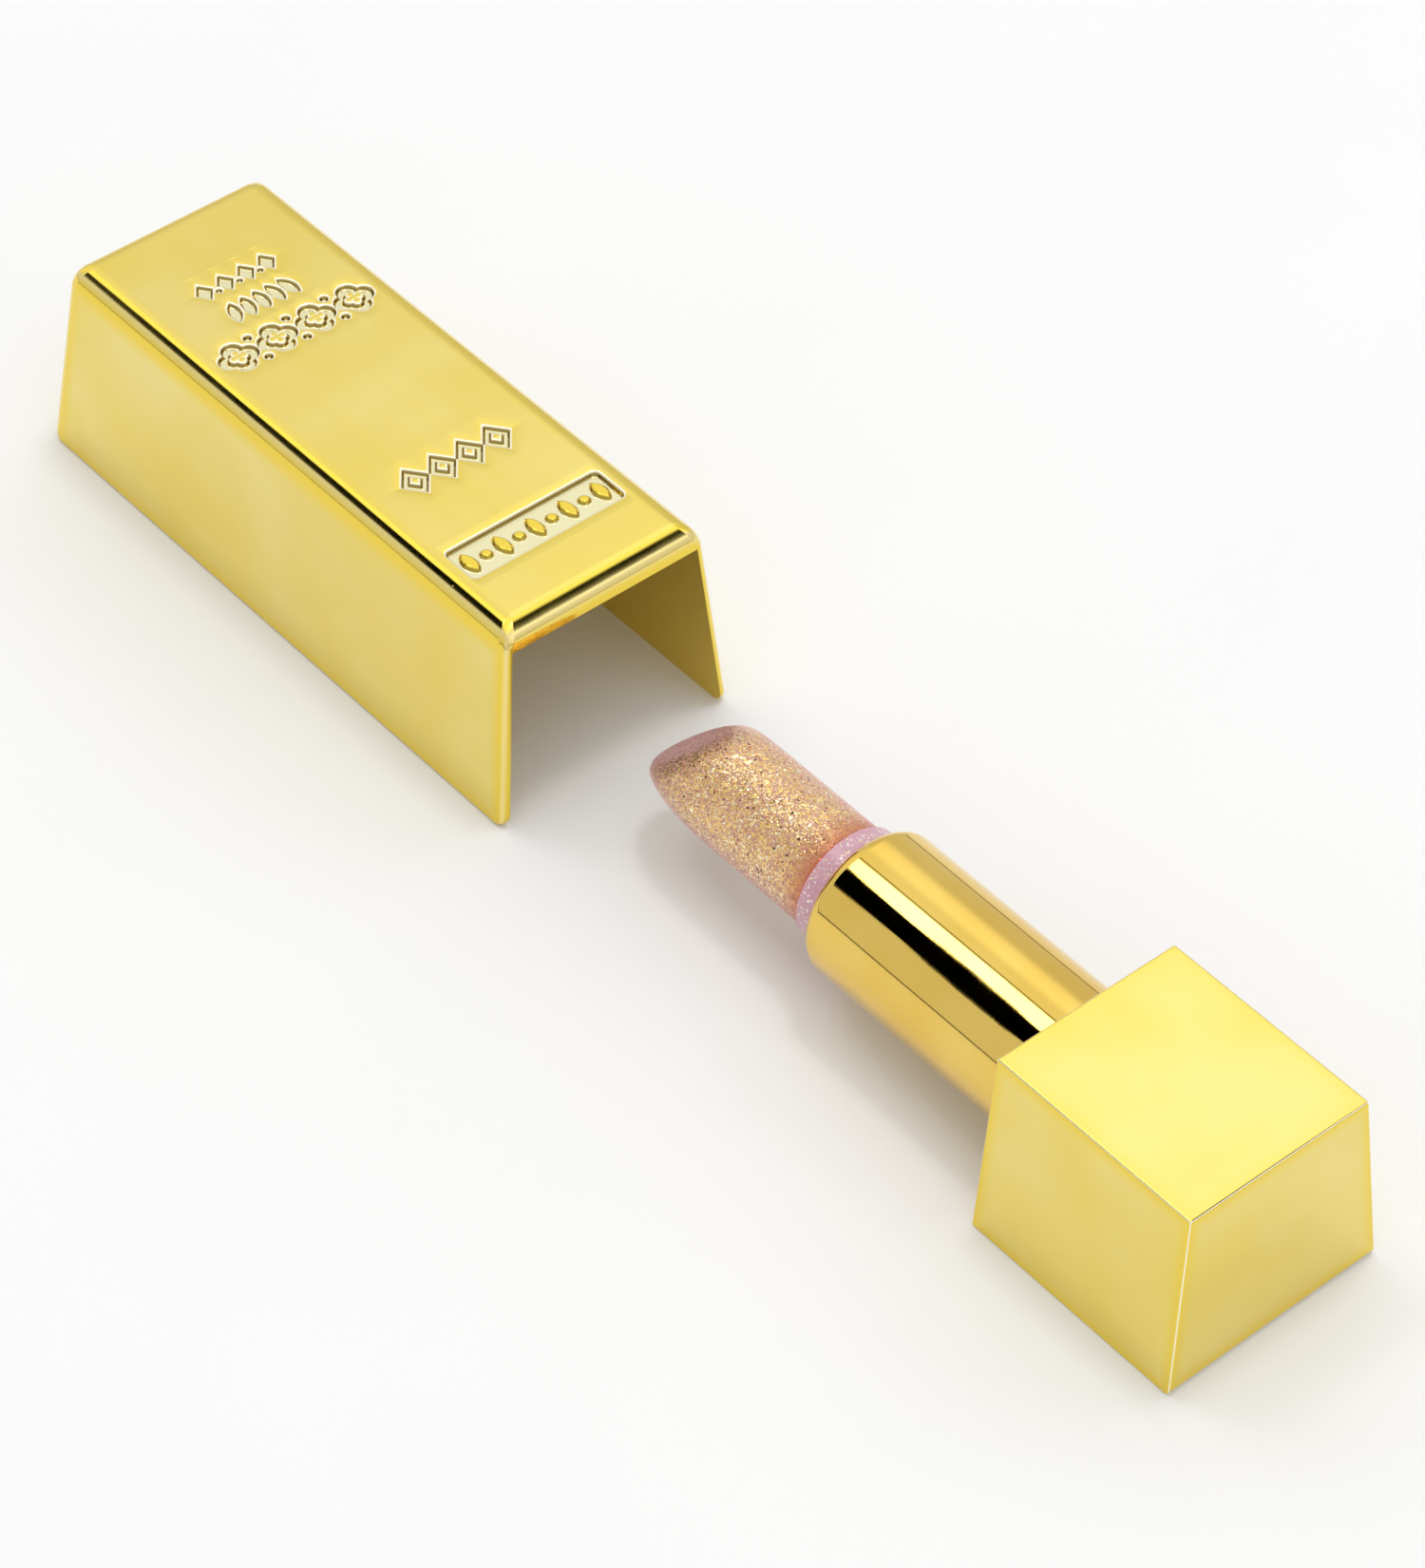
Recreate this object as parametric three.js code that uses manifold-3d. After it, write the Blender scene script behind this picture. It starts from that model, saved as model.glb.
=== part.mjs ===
// A lipstick whose case is a gold bar. It lies open: the bullet is raised out of its collar, and the cap is
// drawn straight off and rests in line with the base. Millimetres, +Z up. The common axis of the collar, the
// bullet and the cap's bore runs along +X, from the base's end face towards the cap's closed end.
// Every x below is counted from the lower edge of the base's end face; the whole group is centred at the end.
import * as THREE from "three";
import { mergeVertices } from "three/addons/utils/BufferGeometryUtils.js";
import Module from "manifold-3d";

// ---- driving dimensions ----
const SEGMENTS = 72; // sides of a full circle
const FIT = 0.15; // gap between pieces that are pressed or glued together

// Outside of the closed bar: an ingot, wider at its underside, with leaning ends.
const bar = { length: 80, height: 24.8, halfBottom: 15, halfTop: 12.6, closedLean: 3.6, openLean: 1.5 };
const cap = { side: 0.95, top: 2.7, end: 2.2, floor: 1.2 };
const base = { length: 27, height: 21.9, sideClearance: 0.7, wall: 1.2, plate: 1.5, coreSetback: 2.3 };

// Collar, twist mechanism and bullet, as radii about the axis.
const axisHeight = base.height / 2;
const collar = { outer: 8.3, inner: 8.0, rim: 58, shoulder: 1.6, mouth: 6.7, lip: 0.8, flange: 9.3 };
const spiral = { outer: 7.9, inner: 7.3, start: 15.4, end: 56, slotWidth: 2.3 };
const fork = { outer: 7.2, inner: 6.7, start: 9.6, end: 56.3, foot: 1.2, slotWidth: 2.2 };
const cup = { outer: 6.55, inner: 6.15, depth: 11, proud: 2.5, floor: 1.2 };
const lug = { radius: 0.9, reach: 7.75, aboveFloor: 1.5 };
// The nose is a blunt ogive, cut off by a slant that faces up and crosses the axis at cutAt.
const bullet = { radius: 6.05, noseStart: 76, noseLength: 13.5, bluntness: 2.2, cutAt: 85.4, cutTilt: 46 };
const clearance = { lug: 0.15, collar: 0.2, sleeve: 0.3, flange: 0.4 };

// Twisting the collar by this many turns draws the bullet in by this much.
const lift = { travel: 31.5, turns: 1.5 };
// The liner's bore takes the collar, and a soft ring in a groove grips it.
const liner = { bore: 8.6, outer: 9.6, front: 27.4, bulkhead: 2, end: 61.2, rib: 1.2, ribEnd: 52 };
const grip = { inner: 8.42, outer: 9.0, start: 31.1, length: 2 };
const weight = { start: 3.4, end: 7.1, halfWidth: 9, bottom: 3, top: 19 };
const frictionRing = { inner: 7.35, outer: 8.4, thickness: 1.1 };
const capDrawnOff = 96; // how far the cap has been pulled along +X from the closed place

const wasm = await Module();
wasm.setup();

// ---- solids from three.js geometry, joined and cut as manifolds ----
function solid(geometry) {
  const bare = geometry.index ? geometry.toNonIndexed() : geometry.clone();
  bare.deleteAttribute("normal");
  bare.deleteAttribute("uv");
  const merged = mergeVertices(bare, 1e-4);
  return new wasm.Manifold(
    new wasm.Mesh({
      numProp: 3,
      vertProperties: merged.getAttribute("position").array,
      triVerts: new Uint32Array(merged.index.array),
    }),
  );
}

function geometryOf(body) {
  const mesh = body.getMesh();
  const geometry = new THREE.BufferGeometry();
  geometry.setAttribute("position", new THREE.BufferAttribute(mesh.vertProperties, 3));
  geometry.setIndex(new THREE.BufferAttribute(mesh.triVerts, 1));
  geometry.computeVertexNormals();
  return geometry;
}

// The bar's outside at height z: half its width, and where its two ends stand.
const halfWidthAt = (z) => THREE.MathUtils.mapLinear(z, 0, bar.height, bar.halfBottom, bar.halfTop);
const openEndAt = (z) => (bar.openLean * z) / bar.height;
const closedEndAt = (z) => bar.length - (bar.closedLean * z) / bar.height;
const upright = (x) => () => x;

// A block with the bar's leaning sides, set in from them by inset, between two end faces and two heights.
function taperedBlock(startAt, endAt, bottom, top, inset) {
  const box = new THREE.BoxGeometry(1, 1, 1);
  const corners = box.getAttribute("position");
  for (let i = 0; i < corners.count; i++) {
    const z = corners.getZ(i) < 0 ? bottom : top;
    const x = corners.getX(i) < 0 ? startAt(z) : endAt(z);
    const y = Math.sign(corners.getY(i)) * (halfWidthAt(z) - inset);
    corners.setXYZ(i, x, y, z);
  }
  return solid(box);
}

// A straight box between two corners.
function box(x0, x1, y0, y1, z0, z1) {
  const geometry = new THREE.BoxGeometry(x1 - x0, y1 - y0, z1 - z0);
  geometry.translate((x0 + x1) / 2, (y0 + y1) / 2, (z0 + z1) / 2);
  return solid(geometry);
}

// A closed outline of [radius, x] points, turned about the axis.
function turned(outline) {
  const points = outline.map(([radius, x]) => new THREE.Vector2(radius, x));
  const geometry = new THREE.LatheGeometry(points, SEGMENTS);
  geometry.rotateZ(-Math.PI / 2);
  geometry.translate(0, 0, axisHeight);
  return solid(geometry);
}

const rod = (x0, x1, radius) => turned([[0, x0], [radius, x0], [radius, x1], [0, x1]]);
const tube = (x0, x1, outer, inner) =>
  turned([[inner, x0], [outer, x0], [outer, x1], [inner, x1], [inner, x0]]);

// Points of a quarter circle of the given radius about (r, x), from straight outwards to straight along +X.
function quarterArc(r, x, radius, steps = 6) {
  return Array.from({ length: steps + 1 }, (_, i) => {
    const angle = (i / steps) * (Math.PI / 2);
    return [r + radius * Math.cos(angle), x + radius * Math.sin(angle)];
  });
}

// ---- cap ----
function capShell() {
  const outside = taperedBlock(openEndAt, closedEndAt, 0, bar.height, 0);
  const hollow = taperedBlock(
    (z) => openEndAt(z) - 1,
    (z) => closedEndAt(z) - cap.end,
    -1,
    bar.height - cap.top,
    cap.side,
  );
  return outside.subtract(hollow);
}

function capFloor() {
  const backAt = (z) => closedEndAt(z) - cap.end - FIT;
  return taperedBlock(upright(liner.front), backAt, 0, cap.floor, cap.side + FIT);
}

function capLiner() {
  const low = cap.floor + FIT;
  const high = bar.height - cap.top - FIT;
  const back = liner.front + liner.bulkhead;
  const bulkhead = taperedBlock(upright(liner.front), upright(back), low, high, cap.side + FIT);
  const barrel = rod(back - 0.5, liner.end, liner.outer);
  const half = liner.rib / 2;
  const sideReach = halfWidthAt(axisHeight + half) - cap.side - FIT;
  const sideRib = box(back - 0.5, liner.ribEnd, -sideReach, sideReach, axisHeight - half, axisHeight + half);
  const topRib = box(back - 0.5, liner.ribEnd, -half, half, axisHeight, high);
  const bore = rod(liner.front - 1, liner.end - liner.rib, liner.bore);
  const groove = rod(grip.start - 0.1, grip.start + grip.length + 0.1, grip.outer + 0.1);
  return bulkhead.add(barrel).add(sideRib).add(topRib).subtract(bore).subtract(groove);
}

const capGripRing = () => tube(grip.start, grip.start + grip.length, grip.outer, grip.inner);

// ---- base ----
const baseInset = cap.side + base.sideClearance;
const insideInset = baseInset + base.wall + FIT;
const insideBottom = base.wall + FIT;
const insideTop = base.height - base.wall - FIT;
const plateBack = base.length - base.plate;

function baseShell() {
  const outside = taperedBlock(openEndAt, upright(base.length), 0, base.height, baseInset);
  const hollow = taperedBlock(
    (z) => openEndAt(z) + base.wall,
    upright(base.length + 1),
    base.wall,
    base.height - base.wall,
    baseInset + base.wall,
  );
  return outside.subtract(hollow);
}

function baseFacePlate() {
  const plate = taperedBlock(upright(plateBack), upright(base.length), insideBottom, insideTop, insideInset);
  return plate.subtract(rod(plateBack - 1, base.length + 1, collar.outer + clearance.collar));
}

// The white inner block: a wide bore for the turning sleeve, and a narrow one that holds the fork's foot.
const coreStart = weight.end + 2 * FIT;
const coreEnd = plateBack - base.coreSetback;
const coreStep = spiral.start - frictionRing.thickness - 2 * FIT;

function baseCore() {
  const block = taperedBlock(upright(coreStart), upright(coreEnd), insideBottom, insideTop, insideInset);
  const sleeveBore = rod(coreStep, coreEnd + 1, collar.outer + clearance.sleeve);
  const forkBore = rod(fork.start - FIT, coreStep + 1, fork.outer + FIT);
  return block.subtract(sleeveBore).subtract(forkBore);
}

const baseWeight = () =>
  box(weight.start, weight.end, -weight.halfWidth, weight.halfWidth, weight.bottom, weight.top);

// ---- twist mechanism ----
const cupTop = collar.rim + cup.proud; // every x of the cup and bullet is with the bullet raised
const cupBottom = cupTop - cup.depth;
const lugRaised = cupBottom + lug.aboveFloor;
const lugDrawnIn = lugRaised - lift.travel;

// The fork is fixed in the base. Its two straight slots keep the cup from turning.
function guideFork() {
  const barrel = tube(fork.start, fork.end, fork.outer, fork.inner);
  const foot = rod(fork.start, fork.start + fork.foot, (fork.inner + fork.outer) / 2);
  const half = fork.slotWidth / 2;
  const slots = box(
    lugDrawnIn - lug.radius - clearance.lug,
    lugRaised + lug.radius + clearance.lug,
    -fork.outer - 1,
    fork.outer + 1,
    axisHeight - half,
    axisHeight + half,
  );
  return barrel.add(foot).subtract(slots);
}

// A slot that winds back from the raised lug: a long box bent into a helix.
function helicalSlot(startAngle) {
  const overrun = 0.2; // radians past the lug's two end places
  const turn = lift.turns * 2 * Math.PI;
  const perRadian = lift.travel / turn;
  const slot = new THREE.BoxGeometry(turn + 2 * overrun, spiral.slotWidth, 2, 90, 1, 1);
  const points = slot.getAttribute("position");
  for (let i = 0; i < points.count; i++) {
    const along = points.getX(i) + turn / 2;
    const across = points.getY(i);
    const radius = (spiral.inner + spiral.outer) / 2 + points.getZ(i);
    const angle = startAngle + along;
    const x = lugRaised - perRadian * along + across;
    points.setXYZ(i, x, radius * Math.cos(angle), axisHeight + radius * Math.sin(angle));
  }
  return solid(slot);
}

// The sleeve turns with the collar. Its two helical slots drive the cup's lugs along the fork's slots.
function spiralSleeve() {
  const sleeve = tube(spiral.start, spiral.end, spiral.outer, spiral.inner);
  return sleeve.subtract(helicalSlot(0)).subtract(helicalSlot(Math.PI));
}

function frictionRingBody() {
  const start = coreStep + FIT;
  return tube(start, start + frictionRing.thickness, frictionRing.outer, frictionRing.inner);
}

// The visible collar: a thin tube with a rounded shoulder and an in-turned lip, and a flange inside the base.
function collarShell() {
  const flangeStart = coreEnd + clearance.flange;
  const flangeEnd = plateBack - clearance.flange;
  const shoulder = quarterArc(collar.outer - collar.shoulder, collar.rim - collar.shoulder, collar.shoulder);
  return turned([
    [collar.inner, spiral.start],
    [collar.outer, spiral.start],
    [collar.outer, flangeStart],
    [collar.flange, flangeStart],
    [collar.flange, flangeEnd],
    [collar.outer, flangeEnd],
    ...shoulder,
    [collar.mouth, collar.rim],
    [collar.mouth, collar.rim - collar.lip],
    [collar.inner - 0.6, collar.rim - collar.lip],
    [collar.inner, collar.rim - collar.shoulder],
    [collar.inner, spiral.start],
  ]);
}

// ---- cup and bullet ----
function lipstickCup() {
  const bowl = turned([
    [0, cupBottom],
    [cup.outer, cupBottom],
    [cup.outer, cupTop],
    [cup.inner, cupTop],
    [cup.inner, cupBottom + cup.floor],
    [0, cupBottom + cup.floor],
  ]);
  const inside = (cup.inner + cup.outer) / 2;
  const lugs = [1, -1].map((side) => {
    const pin = new THREE.CylinderGeometry(lug.radius, lug.radius, lug.reach - inside, 24);
    pin.translate(lugRaised, (side * (lug.reach + inside)) / 2, axisHeight);
    return solid(pin);
  });
  return bowl.add(lugs[0]).add(lugs[1]);
}

function lipstickBullet() {
  const steps = 14;
  const nose = Array.from({ length: steps }, (_, i) => {
    const along = Math.sin((i / steps) * (Math.PI / 2));
    const radius = bullet.radius * (1 - along ** bullet.bluntness) ** (1 / bullet.bluntness);
    return [radius, bullet.noseStart + bullet.noseLength * along];
  });
  const bottom = cupBottom + cup.floor + FIT;
  const apex = [0, bullet.noseStart + bullet.noseLength];
  const stick = turned([[0, bottom], [bullet.radius, bottom], ...nose, apex]);
  const cutter = new THREE.BoxGeometry(40, 40, 40);
  cutter.translate(0, 0, 20);
  cutter.rotateY(THREE.MathUtils.degToRad(bullet.cutTilt));
  cutter.translate(bullet.cutAt, 0, axisHeight);
  return stick.subtract(solid(cutter));
}

// ---- materials and assembly ----
const paint = (color, roughness, metalness) =>
  new THREE.MeshStandardMaterial({ color, roughness, metalness });
const gold = paint(0xe6c95f, 0.06, 1);
const whitePlastic = paint(0xe9e6df, 0.5, 0);
const steel = paint(0x8f9296, 0.4, 1);
const rubber = paint(0x3a3a3c, 0.8, 0);
const lilac = paint(0xc79fc0, 0.35, 0);
const glitter = paint(0xd9a06b, 0.4, 0.3);

function assembly(pieces) {
  const group = new THREE.Group();
  for (const [name, body, material] of pieces) {
    const mesh = new THREE.Mesh(geometryOf(body), material);
    mesh.name = name;
    group.add(mesh);
  }
  return group;
}

const capGroup = assembly([
  ["cap_shell", capShell(), gold],
  ["cap_floor", capFloor(), gold],
  ["cap_liner", capLiner(), whitePlastic],
  ["cap_grip_ring", capGripRing(), rubber],
]);
capGroup.position.x = capDrawnOff;

const baseGroup = assembly([
  ["base_shell", baseShell(), gold],
  ["base_face_plate", baseFacePlate(), gold],
  ["base_core", baseCore(), whitePlastic],
  ["base_weight", baseWeight(), steel],
  ["guide_fork", guideFork(), whitePlastic],
  ["friction_ring", frictionRingBody(), rubber],
]);

const collarGroup = assembly([
  ["collar_shell", collarShell(), gold],
  ["spiral_sleeve", spiralSleeve(), whitePlastic],
]);

const carrierGroup = assembly([
  ["lipstick_cup", lipstickCup(), lilac],
  ["lipstick_bullet", lipstickBullet(), glitter],
]);

const lipstick = new THREE.Group();
lipstick.add(baseGroup, collarGroup, carrierGroup, capGroup);
lipstick.position.x = -(capDrawnOff + bar.length) / 2;

const root = new THREE.Group();
root.add(lipstick);

export default root;
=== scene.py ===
"""Looks for a lipstick whose case is a gold bar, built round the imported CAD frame.

Lengths are metres, written as millimetres times MM. The common axis of the collar, the bullet and the cap's
bore runs along +X. The base is at -X, the cap at +X.
"""
import math

import bmesh
import bpy
import numpy as np
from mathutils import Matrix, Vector


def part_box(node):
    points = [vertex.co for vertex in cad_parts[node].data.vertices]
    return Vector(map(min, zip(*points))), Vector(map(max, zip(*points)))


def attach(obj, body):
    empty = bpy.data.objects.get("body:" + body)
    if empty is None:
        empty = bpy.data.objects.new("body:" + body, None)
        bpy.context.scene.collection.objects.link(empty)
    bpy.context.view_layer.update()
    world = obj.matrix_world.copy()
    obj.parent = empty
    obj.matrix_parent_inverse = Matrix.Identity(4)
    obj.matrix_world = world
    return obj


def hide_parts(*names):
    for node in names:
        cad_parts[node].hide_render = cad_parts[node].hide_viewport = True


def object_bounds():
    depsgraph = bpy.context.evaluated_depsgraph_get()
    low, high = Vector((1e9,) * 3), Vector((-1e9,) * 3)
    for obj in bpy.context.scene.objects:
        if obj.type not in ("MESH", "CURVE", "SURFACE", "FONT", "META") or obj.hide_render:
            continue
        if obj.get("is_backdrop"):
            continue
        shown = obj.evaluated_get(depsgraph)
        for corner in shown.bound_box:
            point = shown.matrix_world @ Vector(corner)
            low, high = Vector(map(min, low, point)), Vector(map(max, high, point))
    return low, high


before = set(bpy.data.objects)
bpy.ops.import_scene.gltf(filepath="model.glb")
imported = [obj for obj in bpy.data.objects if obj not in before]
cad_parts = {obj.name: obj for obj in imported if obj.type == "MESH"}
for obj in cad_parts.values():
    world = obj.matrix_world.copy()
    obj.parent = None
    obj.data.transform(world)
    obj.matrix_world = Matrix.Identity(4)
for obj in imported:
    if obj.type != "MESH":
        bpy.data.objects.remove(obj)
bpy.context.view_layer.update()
MM = 0.001

# ---- driving dimensions, in millimetres ----
CAP_EDGE = 2.45  # reach of the rounding along the cap's top edges
CAP_CORNER = 1.9  # the same down the two corners of its closed end
CAP_MOUTH_EDGE = 1.0  # and down the two corners beside the open end
CAP_HEM = 0.55  # and along the lower edges of its thin sides
CAP_FOOT = 1.8  # and along the lower edges of its ends
BASE_EDGE = 0.3  # and along the base's edges
BASE_HEEL = 1.0  # and where the base's wide face meets its end face
RIM_EDGE = 0.09  # softening of cut rims
NODE_EDGE = 0.12  # softening of the CAD pieces that keep their shape
OVERSHOOT = 2  # how far a cutter stands out of the piece it cuts
THINNEST = 0.1  # less than any wall
NEAR = 0.02  # how close a point is to the place it counts as being at
WELD_REACH = 0.001  # how close two points of a CAD piece are that count as one

# ---- fineness of the meshes ----
ROUND_PROFILE = 0.5  # a bevel's profile that is an arc
SOFT_PROFILE = 0.53  # a little fuller than an arc
EDGE_STEPS = 14  # faces across a rounded edge
TURNED_SIDES = 160
LUG_SIDES = 32
BULLET_SIDES = 144
NOSE_RINGS = 84
HALVINGS = 44  # steps of the search for the bullet's surface
TINY = 1e-7  # metres that count as nothing

# ---- values painted on the gold: near an edge, on a worn line with a painted highlight, on a stamped floor, on a stamped wall as painted shade ----
PAINTED = ("tone", "worn_and_highlight", "stamped", "wall")
TOP_TONE = 0.35  # how rich the flat top is at its edges, where 1 is as rich as the other faces
FACES_UP = 0.97  # upward share of the normal of a point that belongs to the top
WEAR_AND_HIGHLIGHT_BEND = 0.1  # 1 less the cosine of the turn away from the nearest broad face, where wear and its painted highlight start
WEAR_AND_HIGHLIGHT_SPREAD = 0.15  # and how much more of it brings full wear and the full painted highlight
BROAD_AREA = 120  # square millimetres of the smallest broad face
BROAD_CORNERS = 8  # of a broad face at most: the cap's inner side walls have more

# ---- camera, as the photographer stood ----
AZIMUTH = 230
ELEVATION = 45
DISTANCE = 0.52
MARGIN = 0.035  # share of the frame left free at each side
IMAGE_WIDTH = 1500
IMAGE_HEIGHT = 1650
SENSOR_WIDTH = 36  # millimetres
AIM_ROUNDS = 8  # each round centres the object in the frame more closely


# ---- reading the frame ----
def points_of(node):
    return [v.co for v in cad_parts[node].data.vertices]


def level(node, z):
    """Lowest and highest corner of a CAD node's points at height z."""
    points = [p for p in points_of(node) if abs(p.z - z) < NEAR * MM]
    return Vector(map(min, zip(*points))), Vector(map(max, zip(*points)))


def outline(node):
    """The node's lower and upper rectangle, as (x0, x1, half width, z)."""
    low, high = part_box(node)
    rows = []
    for z in (low.z, high.z):
        a, b = level(node, z)
        rows.append((a.x, b.x, b.y, z))
    return rows


def axis_height():
    low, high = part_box("collar_shell")
    return (low.z + high.z) / 2


def ring_radii(node, x):
    """Greatest and least distance from the axis of a node's points at x, in mm."""
    found = [math.hypot(p.y, p.z - AXIS_Z) for p in points_of(node) if abs(p.x - x) < NEAR * MM]
    return max(found) / MM, min(found) / MM


def wall_sizes():
    """Thickness of the cap's top, sides and closed end, and of the base's walls, in mm."""
    cap, base = points_of("cap_shell"), points_of("base_shell")
    cap_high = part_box("cap_shell")[1]
    base_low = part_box("base_shell")[0]
    foot = [p for p in cap if abs(p.z) < NEAR * MM]
    ceiling = min(p.z for p in cap if p.z > cap_high.z / 2)
    side = max(p.y for p in foot) - min(abs(p.y) for p in foot)
    closed_end = max(p.x for p in foot if p.x < cap_high.x - THINNEST * MM)
    base_floor = min(p.z for p in base if p.z > base_low.z + THINNEST * MM)
    return {
        "cap_top": (cap_high.z - ceiling) / MM,
        "cap_side": side / MM,
        "cap_end": (cap_high.x - closed_end) / MM,
        "base": (base_floor - base_low.z) / MM,
    }


AXIS_Z = axis_height()
WALLS = wall_sizes()
collar_outer, collar_inner = ring_radii("collar_shell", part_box("collar_shell")[0].x)
cup_outer, cup_inner = ring_radii("lipstick_cup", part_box("lipstick_cup")[1].x)

# Sizes of the turned pieces, in mm. The bullet's places along X count from its foot.
COLLAR = {
    "outer": collar_outer,
    "inner": collar_inner,
    "mouth": ring_radii("collar_shell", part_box("collar_shell")[1].x)[1],
    "shoulder": 1.6,
    "lip": 0.8,  # thickness of the turned-in lip
    "bead": 0.18,  # rounding of the lip's edge
    "chamfer": 0.6,  # between the lip and the bore
    "gap": 0.4,  # at each side of the flange
}
CUP = {
    "outer": cup_outer,
    "inner": cup_inner,
    "floor": 1.2,
    "chamfer": 0.3,
    "lug_at": 1.5,
    "lug_radius": 0.9,
    "lug_chamfer": 0.15,
}
BULLET = {
    "radius": ring_radii("lipstick_bullet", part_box("lipstick_bullet")[0].x)[0],
    "foot_chamfer": 0.4,
    "waist": 6.0,  # a ring on its straight side
    "centre": 22.15,  # where the rays start that find the nose's surface
    "ray": 30.0,  # long enough to end outside
    "nose_start": 25.15,
    "nose_length": 13.5,
    "bluntness": 2.2,
    "cut_at": 34.55,
    "cut_tilt": 42.0,
    "cut_edge": 1.7,
}


# ---- mesh tools ----
def new_object(name, vertices, faces):
    mesh = bpy.data.meshes.new(name)
    mesh.from_pydata([tuple(v) for v in vertices], [], [tuple(f) for f in faces])
    mesh.update()
    made = bpy.data.objects.new(name, mesh)
    bpy.context.scene.collection.objects.link(made)
    return made


def apply_modifiers(made):
    """Keeps what the modifiers make as the object's own mesh."""
    graph = bpy.context.evaluated_depsgraph_get()
    mesh = bpy.data.meshes.new_from_object(made.evaluated_get(graph))
    made.modifiers.clear()
    made.data = mesh
    return made


def subtract(made, cutter):
    cut = made.modifiers.new("cut", "BOOLEAN")
    cut.operation = "DIFFERENCE"
    cut.solver = "EXACT"
    cut.object = cutter
    apply_modifiers(made)
    bpy.data.objects.remove(cutter)


def soften_rims(made, width=RIM_EDGE, angle=40):
    bevel = made.modifiers.new("rims", "BEVEL")
    bevel.limit_method = "ANGLE"
    bevel.angle_limit = math.radians(angle)
    bevel.width = width * MM
    bevel.segments = 2
    bevel.miter_outer = "MITER_ARC"


def shade(made, angle=32):
    """Smooth shading that keeps flat faces flat and sharp edges sharp."""
    made.data.shade_smooth()
    made.data.set_sharp_from_angle(angle=math.radians(angle))
    normals = made.modifiers.new("normals", "WEIGHTED_NORMAL")
    normals.keep_sharp = True
    normals.weight = 100


def place(made, body, material, node):
    """The piece rides on a body, takes a finish and stands for a CAD node."""
    made.data.materials.clear()
    made.data.materials.append(material)
    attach(made, body)
    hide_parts(node)


def join(made, *others):
    """Adds the others' meshes to the piece's own, and turns all its faces outwards."""
    bm = bmesh.new()
    for item in (made, *others):
        bm.from_mesh(item.data)
    bmesh.ops.recalc_face_normals(bm, faces=bm.faces)
    bm.to_mesh(made.data)
    bm.free()
    for item in others:
        bpy.data.objects.remove(item)


def block(name, lower, upper, radius_of=None, profile=ROUND_PROFILE):
    """A block with leaning sides between two rectangles. radius_of(height, end) rounds its edges, in mm."""
    corners = []
    for x0, x1, half, z in (lower, upper):
        corners += [(x0, -half, z), (x1, -half, z), (x1, half, z), (x0, half, z)]
    faces = [(3, 2, 1, 0), (4, 5, 6, 7), (0, 1, 5, 4), (1, 2, 6, 5), (2, 3, 7, 6), (3, 0, 4, 7)]
    made = new_object(name, corners, faces)
    if radius_of is None:
        return made
    middle = (lower[0] + lower[1]) / 2
    radii = [radius_of(*edge_kind(made.data, edge, middle)) for edge in made.data.edges]
    widest = max(radii)
    weights = made.data.attributes.new("bevel_weight_edge", "FLOAT", "EDGE")
    weights.data.foreach_set("value", [radius / widest for radius in radii])
    bevel = made.modifiers.new("edges", "BEVEL")
    bevel.limit_method = "WEIGHT"
    bevel.width = widest * MM
    bevel.segments = EDGE_STEPS
    bevel.profile = profile
    return apply_modifiers(made)


def edge_kind(mesh, edge, middle):
    """An edge's height on its block (low, high or upright), and the end it stands at, if any."""
    a, b = (mesh.vertices[i] for i in edge.vertices)
    lower_corners = 4
    upright = (a.index < lower_corners) != (b.index < lower_corners)
    height = "upright" if upright else ("low" if a.index < lower_corners else "high")
    along = abs(a.co.y - b.co.y) < TINY and not upright
    end = None if along else ("open" if a.co.x < middle else "closed")
    return height, end


def inset_rectangle(rectangle, x0, x1, side):
    """The rectangle with its ends moved in by x0 and x1 and its sides by side, in mm."""
    a, b, half, z = rectangle
    return (a + x0 * MM, b - x1 * MM, half - side * MM, z)


def at_height(lower, upper, z):
    """The block's rectangle at height z, on the same leaning planes."""
    t = (z - lower[3]) / (upper[3] - lower[3])
    return tuple(a + (b - a) * t for a, b in zip(lower[:3], upper[:3])) + (z,)


def ring_faces(first, rings, sides):
    """Quads that join rings of points, which are numbered ring by ring from first."""
    faces = []
    for i in range(rings - 1):
        near, far = first + i * sides, first + (i + 1) * sides
        for j in range(sides):
            k = (j + 1) % sides
            faces.append((near + j, near + k, far + k, far + j))
    return faces


def turned(name, points):
    """A closed solid turned about the axis from (x, radius) points. A radius of 0 is a pole."""
    vertices = []
    rings = []
    for x, radius in points:
        if radius < TINY:
            rings.append([len(vertices)] * TURNED_SIDES)
            vertices.append((x, 0, AXIS_Z))
            continue
        rings.append(list(range(len(vertices), len(vertices) + TURNED_SIDES)))
        for i in range(TURNED_SIDES):
            angle = 2 * math.pi * i / TURNED_SIDES
            vertices.append((x, radius * math.sin(angle), AXIS_Z + radius * math.cos(angle)))
    faces = []
    closed = points[0][1] > TINY
    for k in range(len(rings) if closed else len(rings) - 1):
        near, far = rings[k], rings[(k + 1) % len(rings)]
        for i in range(TURNED_SIDES):
            j = (i + 1) % TURNED_SIDES
            quad = [near[i], near[j], far[j], far[i]]
            faces.append(list(dict.fromkeys(quad)))
    return new_object(name, vertices, faces)


def arc(x, radius, size, start, end, steps):
    """(x, radius) points of an arc of this size about (x, radius). Angles are degrees from +X outwards."""
    angles = [math.radians(start + (end - start) * i / steps) for i in range(steps + 1)]
    return [(x + size * math.cos(a), radius + size * math.sin(a)) for a in angles]


# ---- stamped marks on the cap: plain geometric ornament, as signed distances in millimetres ----
def disc(x, y, radius):
    return np.hypot(x, y) - radius


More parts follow.
